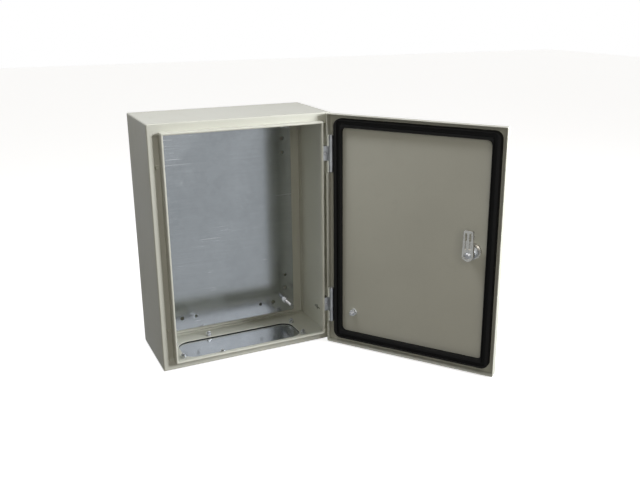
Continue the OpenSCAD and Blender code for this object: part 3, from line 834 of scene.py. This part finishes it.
class ENCLOSURE_OT_plate_fixings(bpy.types.Operator):
    """Make the plate's studs, spacers, washers and nuts"""
    bl_idname = "enclosure.plate_fixings"
    bl_label = "Plate fixings"

    def execute(self, context):
        p = settings("parts")
        radius = radius_of(loose_parts("plate_studs")[0])
        fixings("plate_studs", "steel", studs(radius, p.plate_pitch))
        fixings("plate_spacers", "steel", washers(radius + p.washer_play, 0.5 * MM))
        fixings("plate_washers", "zinc_plated", washers(radius + p.washer_play))
        fixings("plate_nuts", "zinc_plated", nuts(radius + p.nut_play))
        return {"FINISHED"}


class ENCLOSURE_OT_gland(bpy.types.Operator):
    """Make the gland plate, its gasket and its fixings"""
    bl_idname = "enclosure.gland"
    bl_label = "Gland plate"

    def execute(self, context):
        copied("gland_plate", "sheared", "box", "galvanised", 0.3 * MM)
        copied("gland_gasket", "strip", "box", "foam", 0.35 * MM)
        p = settings("parts")
        radius = radius_of(loose_parts("gland_studs")[0])
        fixings("gland_studs", "steel", studs(radius, p.gland_pitch, 16), upright=True)
        fixings("gland_washers", "zinc_plated", washers(radius + p.washer_play, 0.2 * MM), upright=True)
        fixings("gland_nuts", "zinc_plated", nuts(radius + p.nut_play), upright=True)
        return {"FINISHED"}


class ENCLOSURE_OT_plugs(bpy.types.Operator):
    """Make the plugs in the unused hinge holes"""
    bl_idname = "enclosure.plugs"
    bl_label = "Hinge hole plugs"

    def execute(self, context):
        parts = []
        for low, high in loose_parts("hinge_hole_plugs"):
            radius = (high.x - low.x) / 2
            head = 1.6 * MM
            stem = 2.1 * MM
            points = [(0.35 * MM, low.y + 0.35 * MM), (0.9 * MM, low.y + 0.30 * MM), (1.2 * MM, low.y + 0.02 * MM)]
            for a in arc(6, 70, 0):
                points.append((radius * math.cos(a), low.y + head - (head - 0.1 * MM) * math.sin(a)))
            points += [(stem, low.y + head), (stem, high.y - 1.5 * MM), (stem - 0.7 * MM, high.y)]
            spot = middle((low, high))
            parts.append(moved(turned(points, 40), at(spot.x, 0, spot.z)))
        piece(gathered(parts), "hinge_hole_plugs", "moulded", "box", "plug")
        return {"FINISHED"}


class ENCLOSURE_OT_earth_mark(bpy.types.Operator):
    """Print the earth mark low on the right wall"""
    bl_idname = "enclosure.earth_mark"
    bl_label = "Earth mark"

    def execute(self, context):
        wall_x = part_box("body_wrapper")[1].x - settings("sheet").sheet
        middle_y, middle_z = -74 * MM, -164 * MM
        thick = 0.12 * MM
        parts = []
        # the symbol lies on its side: (front end, length, height) of its stem and bars
        for start, run, rise in ((-11, 9, 2.0), (-2, 2.2, 9.0), (2.6, 2.2, 6.4), (7.2, 2.2, 3.8)):
            low = (wall_x - thick, middle_y + start * MM, middle_z - rise / 2 * MM)
            high = (wall_x + 0.02 * MM, low[1] + run * MM, middle_z + rise / 2 * MM)
            parts.append(block(low, high))
        finished(gathered(parts), "earth_mark_printed", "box", "paint", known(print_ink))
        return {"FINISHED"}


# ---- hinges ----

class ENCLOSURE_OT_hinges(bpy.types.Operator):
    """Make both hinges: body parts, door parts, pins and screws"""
    bl_idname = "enclosure.hinges"
    bl_label = "Hinges"

    def execute(self, context):
        p = settings("parts")
        for level in LEVELS:
            for side, body in (("body", "box"), ("door", "door")):
                copied(side + "_hinge_" + level, "cast", body, "cast_zinc", p.cast_edge, 3)
            low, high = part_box("hinge_pin_" + level)
            head_r = (high.x - low.x) / 2
            pin_r, head = p.pin, p.pin_head
            under, crown = high.z - head, 0.6 * head
            points = [(0.5 * MM, low.z), (pin_r - 0.4 * MM, low.z + 0.1 * MM), (pin_r, low.z + 0.6 * MM),
                      (pin_r, under), (head_r - 0.1 * MM, under), (head_r, under + 0.2 * MM)]
            points += [(head_r * math.cos(a), high.z - crown + crown * math.sin(a)) for a in arc(5, 0, 80)]
            pin = moved(turned([(r, -z) for r, z in points], 32), at(AXIS.x, AXIS.y, 0) @ UPRIGHT.inverted())
            piece(pin, "hinge_pin_" + level, "turned", "door", "steel")
        copied("hinge_screws", "turned", "box", "steel", 0.2 * MM)
        fixings("hinge_washers", "zinc_plated", washers(p.hinge_hole, 0.15 * MM))
        fixings("hinge_nuts", "zinc_plated", nuts(p.hinge_nut))
        return {"FINISHED"}


# ---- the door ----

class ENCLOSURE_OT_door(bpy.types.Operator):
    """Fold the door shell with its lock hole and hinge notches"""
    bl_idname = "enclosure.door"
    bl_label = "Door shell"

    def execute(self, context):
        f, p = settings("sheet"), settings("parts")
        low, high = closed_parts("door_shell")[0]
        t, bend, soft, small = f.sheet, f.bend, f.bend - f.sheet, 0.25 * MM
        face_y, edge_y = low.y, high.y
        shell = rounded(high.x, high.z)
        blank = stack([*(shell(bend * x, bend - bend * x, face_y + bend * y) for x, y in fillet(6, 90, 0)),
                       shell(0, bend, edge_y - small), shell(small, bend - small, edge_y),
                       shell(t - small, soft + small, edge_y), shell(t, soft, edge_y - small),
                       *(shell(t + soft * x, soft - soft * x, face_y + t + soft * y) for x, y in fillet(4))])
        lock = middle(closed_parts("lock_housing")[0])
        cutters = [moved(drill(p.lock_hole, 48), at(lock.x, face_y, lock.z))]
        notch = 1.5 * MM                              # from the hinge axis to the notches
        for level in LEVELS:
            start, end = closed_parts("door_hinge_" + level)[0]
            cutters.append(block((AXIS.x + notch, face_y + t, start.z - p.hinge_room),
                                 (high.x + REACH, edge_y + REACH, end.z + p.hinge_room)))
        bm = cut_out(blank, cutters)
        eased(bm, f.edge, least=60)
        piece(moved(bm, TO_OPEN), "door_shell", "folded", "door", "paint")
        return {"FINISHED"}


class ENCLOSURE_OT_door_gasket(bpy.types.Operator):
    """Foam the door gasket, with the channel that the lip enters"""
    bl_idname = "enclosure.door_gasket"
    bl_label = "Door gasket"

    def execute(self, context):
        f, g = settings("sheet"), settings("gasket")
        low, high = closed_parts("door_gasket")[0]
        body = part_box("body_wrapper")
        base, top = low.y, high.y
        floor = body[0].y - 0.3 * MM                  # bottom of the groove for the lip
        near, far = -g.lip_clear, f.lip_thick + 0.6 * MM        # insets of its walls from the lip's outside
        ease, mouth, ledge = 0.8 * MM, 0.9 * MM, 0.45 * MM      # of its bottom, its mouth and the inner edges
        outer_r, inner_r, end_r = 3.6 * MM, 3.0 * MM, g.corner - 5 * MM
        foam = rounded(high.x, high.z)
        lip = rounded(body[1].x - f.rim - f.channel, body[1].z - f.rim_ends)
        levels = [foam(0, g.corner, base), foam(0.1 * MM, g.corner, base + 0.3 * (top - base))]
        for x, y in fillet(6):
            inset = 0.4 * MM + g.crown * x
            levels.append(foam(inset, g.corner - inset, top - g.crown * y))
        levels += [lip(near - mouth * y, outer_r + mouth, top - mouth * x) for x, y in fillet(4)]
        levels += [lip(near, outer_r, floor + ease), lip(near + ease, inner_r, floor),
                   lip(far - ease, inner_r, floor), lip(far, inner_r, floor + ease)]
        levels += [lip(far + ledge * x, inner_r, top - ledge * y) for x, y in fillet(4)]
        levels += [foam(g.width - ledge * y, end_r, top - ledge * x) for x, y in fillet(4)]
        levels += [foam(g.width, end_r, base), foam(0, g.corner, base)]
        bm = stack(levels, closed=True)
        piece(moved(bm, TO_OPEN), "door_gasket", "foamed", "door", "foam")
        return {"FINISHED"}


class ENCLOSURE_OT_earth_stud(bpy.types.Operator):
    """Make the door's earth stud with its washer and nut"""
    bl_idname = "enclosure.earth_stud"
    bl_label = "Door earth stud"

    def execute(self, context):
        p = settings("parts")
        radius = radius_of(closed_parts("door_earth_stud")[0])
        fixings("door_earth_stud", "steel", studs(radius, p.plate_pitch), on_door=True)
        fixings("door_earth_washer", "zinc_plated", washers(radius + p.washer_play), on_door=True)
        fixings("door_earth_nut", "zinc_plated", nuts(radius + p.nut_play), on_door=True)
        return {"FINISHED"}


# ---- the lock ----

class ENCLOSURE_OT_lock(bpy.types.Operator):
    """Make the quarter-turn lock: housing, seal, nut, insert, cam, washer and screw"""
    bl_idname = "enclosure.lock"
    bl_label = "Cam lock"

    def execute(self, context):
        low, high = closed_parts("lock_housing")[0]
        spot = middle((low, high))
        place = TO_OPEN @ at(spot.x, 0, spot.z)
        flange_r = (high.z - low.z) / 2
        p = settings("parts")
        body_r, bore, seat, pitch = p.lock_body, p.lock_bore, p.lock_seat, p.lock_pitch
        seat_y, flange_y = low.y + p.lock_mouth, low.y + p.lock_flange
        depth = 0.65 * pitch                          # of the thread
        ease, small = 1.4 * MM, 0.4 * MM              # of the flange's front and of the other edges
        nut_end = closed_parts("lock_nut")[0][1].y
        points = [(bore, seat_y), (seat, seat_y), (seat, low.y + small), (seat + small, low.y)]
        points += [(flange_r - ease * x, low.y + ease * y) for x, y in fillet(5, 90, 0)]
        points += [(flange_r, flange_y - 0.3 * MM), (flange_r - 0.3 * MM, flange_y), (body_r, flange_y)]
        y = nut_end - pitch
        points.append((body_r, y))
        while y + pitch < high.y - 0.8 * MM:
            points += [(body_r - depth, y + 0.25 * pitch), (body_r - depth, y + 0.4 * pitch),
                       (body_r, y + 0.8 * pitch), (body_r, y + pitch)]
            y += pitch
        points += [(body_r, high.y - 0.7 * MM), (body_r - 0.7 * MM, high.y), (bore + small, high.y),
                   (bore, high.y - small), (bore, seat_y)]
        housing = moved(turned(points, 64, closed=True), place)
        piece(housing, "lock_housing", "turned", "door", "cast_zinc", smooth=25)
        copied("lock_seal", "ring", "door", "foam", 0.3 * MM)
        copied("lock_nut", "cast", "door", "nickel", 0.35 * MM)
        copied("lock_insert", "turned", "cam", "nickel", 0.2 * MM)
        copied("lock_cam", "cast", "cam", "nickel", 0.55 * MM, 3)
        copied("cam_washer", "pressed", "cam", "zinc_plated", 0.15 * MM)
        copied("cam_screw", "turned", "cam", "steel", 0.15 * MM)
        return {"FINISHED"}


# ---- the stage ----

def lamp(name, power, spot, target, size, colour):
    data = bpy.data.lights.new(name, "AREA")
    data.shape = "DISK"
    data.size = size
    data.energy = power
    data.color = colour
    obj = bpy.data.objects.new(name, data)
    obj.location = spot
    obj.rotation_euler = (Vector(target) - Vector(spot)).to_track_quat("-Z", "Y").to_euler()
    bpy.context.scene.collection.objects.link(obj)


def by_ray(tree, plain, shown, mirrored):
    """One shader for the camera, one for gloss and glass, and the plain one for all other light."""
    path = tree.nodes.new("ShaderNodeLightPath")
    shader = plain
    for ray, other in (("Is Glossy Ray", mirrored), ("Is Transmission Ray", mirrored), ("Is Camera Ray", shown)):
        mix = tree.nodes.new("ShaderNodeMixShader")
        tree.links.new(path.outputs[ray], mix.inputs["Fac"])
        tree.links.new(shader, mix.inputs[1])
        tree.links.new(other, mix.inputs[2])
        shader = mix.outputs["Shader"]
    return shader


class ENCLOSURE_OT_stage(bpy.types.Operator):
    """Set the camera, the lamps, the surroundings and the pale floor"""
    bl_idname = "enclosure.stage"
    bl_label = "Stage"

    def execute(self, context):
        s = settings("stage")
        scene = context.scene
        scene.view_settings.view_transform = "Standard"
        data = bpy.data.cameras.new("Camera")
        data.sensor_width = 36
        data.lens = s.lens
        data.shift_x, data.shift_y = s.shift
        data.clip_start = 0.02
        camera = bpy.data.objects.new("Camera", data)
        camera.location = s.camera
        camera.rotation_euler = s.turn
        scene.collection.objects.link(camera)
        scene.camera = camera

        world = bpy.data.worlds.new("Surroundings")
        world.use_nodes = True
        scene.world = world
        tree = world.node_tree
        plain = tree.nodes["Background"]
        plain.inputs["Color"].default_value = (*s.ambient_colour, 1)
        plain.inputs["Strength"].default_value = s.ambient
        white = tree.nodes.new("ShaderNodeBackground")
        white.inputs["Color"].default_value = (1, 1, 1, 1)
        white.inputs["Strength"].default_value = 1
        white = white.outputs["Background"]
        tree.links.new(by_ray(tree, plain.outputs["Background"], white, white),
                       tree.nodes["World Output"].inputs["Surface"])

        for name, power, spot, target, size, colour in (
                ("Key", s.key, (1.0, -1.17, 0.5), (0, -0.1, 0), 0.45, (0.95, 0.97, 1.0)),
                ("Top", s.top, (-0.24, -0.14, 0.85), (0, -0.07, 0.2), 0.4, (0.95, 0.96, 1.0)),
                ("Front", s.front, (-0.32, -1.5, 0.55), (0.1, -0.1, 0.05), 0.8, (1.0, 0.97, 0.90))):
            lamp(name, power, spot, target, size, colour)

        bm = bmesh.new()
        bmesh.ops.create_grid(bm, x_segments=1, y_segments=1, size=6)
        bmesh.ops.translate(bm, vec=(0, 0, CAD_BOX[0].z - 0.0002), verts=bm.verts)
        mesh = bpy.data.meshes.new("Floor")
        bm.to_mesh(mesh)
        bm.free()
        floor = bpy.data.objects.new("Floor", mesh)
        scene.collection.objects.link(floor)
        paper = Shader("Pale floor", s.floor, 0.8, specular=0.2)
        grain = paper.noise(300, 3, 0.6)
        paper.done(paper.blend(paper.ramp(grain, 0.3, 0.7), paper.tint(0.99), paper.tint(1.0)), None)
        tree = paper.tree
        seen = paper.add("AddShader")
        paper.give(seen.inputs[0], paper.surface.outputs["BSDF"])
        paper.give(seen.inputs[1], paper.add("Emission", Strength=s.glow).outputs["Emission"])
        dull = paper.add("BsdfDiffuse", Color=(*s.bounce, 1))
        mirrored = paper.add("Emission", Color=(*s.mirrored, 1))
        tree.links.new(by_ray(tree, dull.outputs["BSDF"], seen.outputs["Shader"], mirrored.outputs["Emission"]),
                       tree.nodes["Material Output"].inputs["Surface"])
        mesh.materials.append(paper.material)
        return {"FINISHED"}


# ---- add-on ----

OPERATORS = (
    ENCLOSURE_OT_stage, ENCLOSURE_OT_body, ENCLOSURE_OT_back, ENCLOSURE_OT_plate, ENCLOSURE_OT_plate_fixings,
    ENCLOSURE_OT_gland, ENCLOSURE_OT_plugs, ENCLOSURE_OT_earth_mark, ENCLOSURE_OT_hinges, ENCLOSURE_OT_door,
    ENCLOSURE_OT_door_gasket, ENCLOSURE_OT_earth_stud, ENCLOSURE_OT_lock,
)
GROUPS = {"sheet": SheetSettings, "gasket": GasketSettings, "parts": PartSettings, "finish": FinishSettings,
          "stage": StageSettings}


class ENCLOSURE_PT_panel(bpy.types.Panel):
    """Lists the pieces and their sizes"""
    bl_idname = "ENCLOSURE_PT_panel"
    bl_label = "Steel wall enclosure"
    bl_space_type = "VIEW_3D"
    bl_region_type = "UI"
    bl_category = "Enclosure"

    def draw(self, context):
        layout = self.layout
        for operator in OPERATORS:
            layout.operator(operator.bl_idname)
        for name, group in GROUPS.items():
            box = layout.box()
            box.label(text=name.capitalize())
            for key in group.__annotations__:
                box.prop(settings(name), key)


CLASSES = (*GROUPS.values(), *OPERATORS, ENCLOSURE_PT_panel)


def register():
    for cls in CLASSES:
        bpy.utils.register_class(cls)
    for name, group in GROUPS.items():
        setattr(bpy.types.Scene, "enclosure_" + name, bpy.props.PointerProperty(type=group))


def unregister():
    for name in GROUPS:
        delattr(bpy.types.Scene, "enclosure_" + name)
    for cls in reversed(CLASSES):
        bpy.utils.unregister_class(cls)


def main():
    register()
    for operator in OPERATORS:
        family, name = operator.bl_idname.split(".")
        getattr(getattr(bpy.ops, family), name)()


if __name__ == "__main__":
    main()
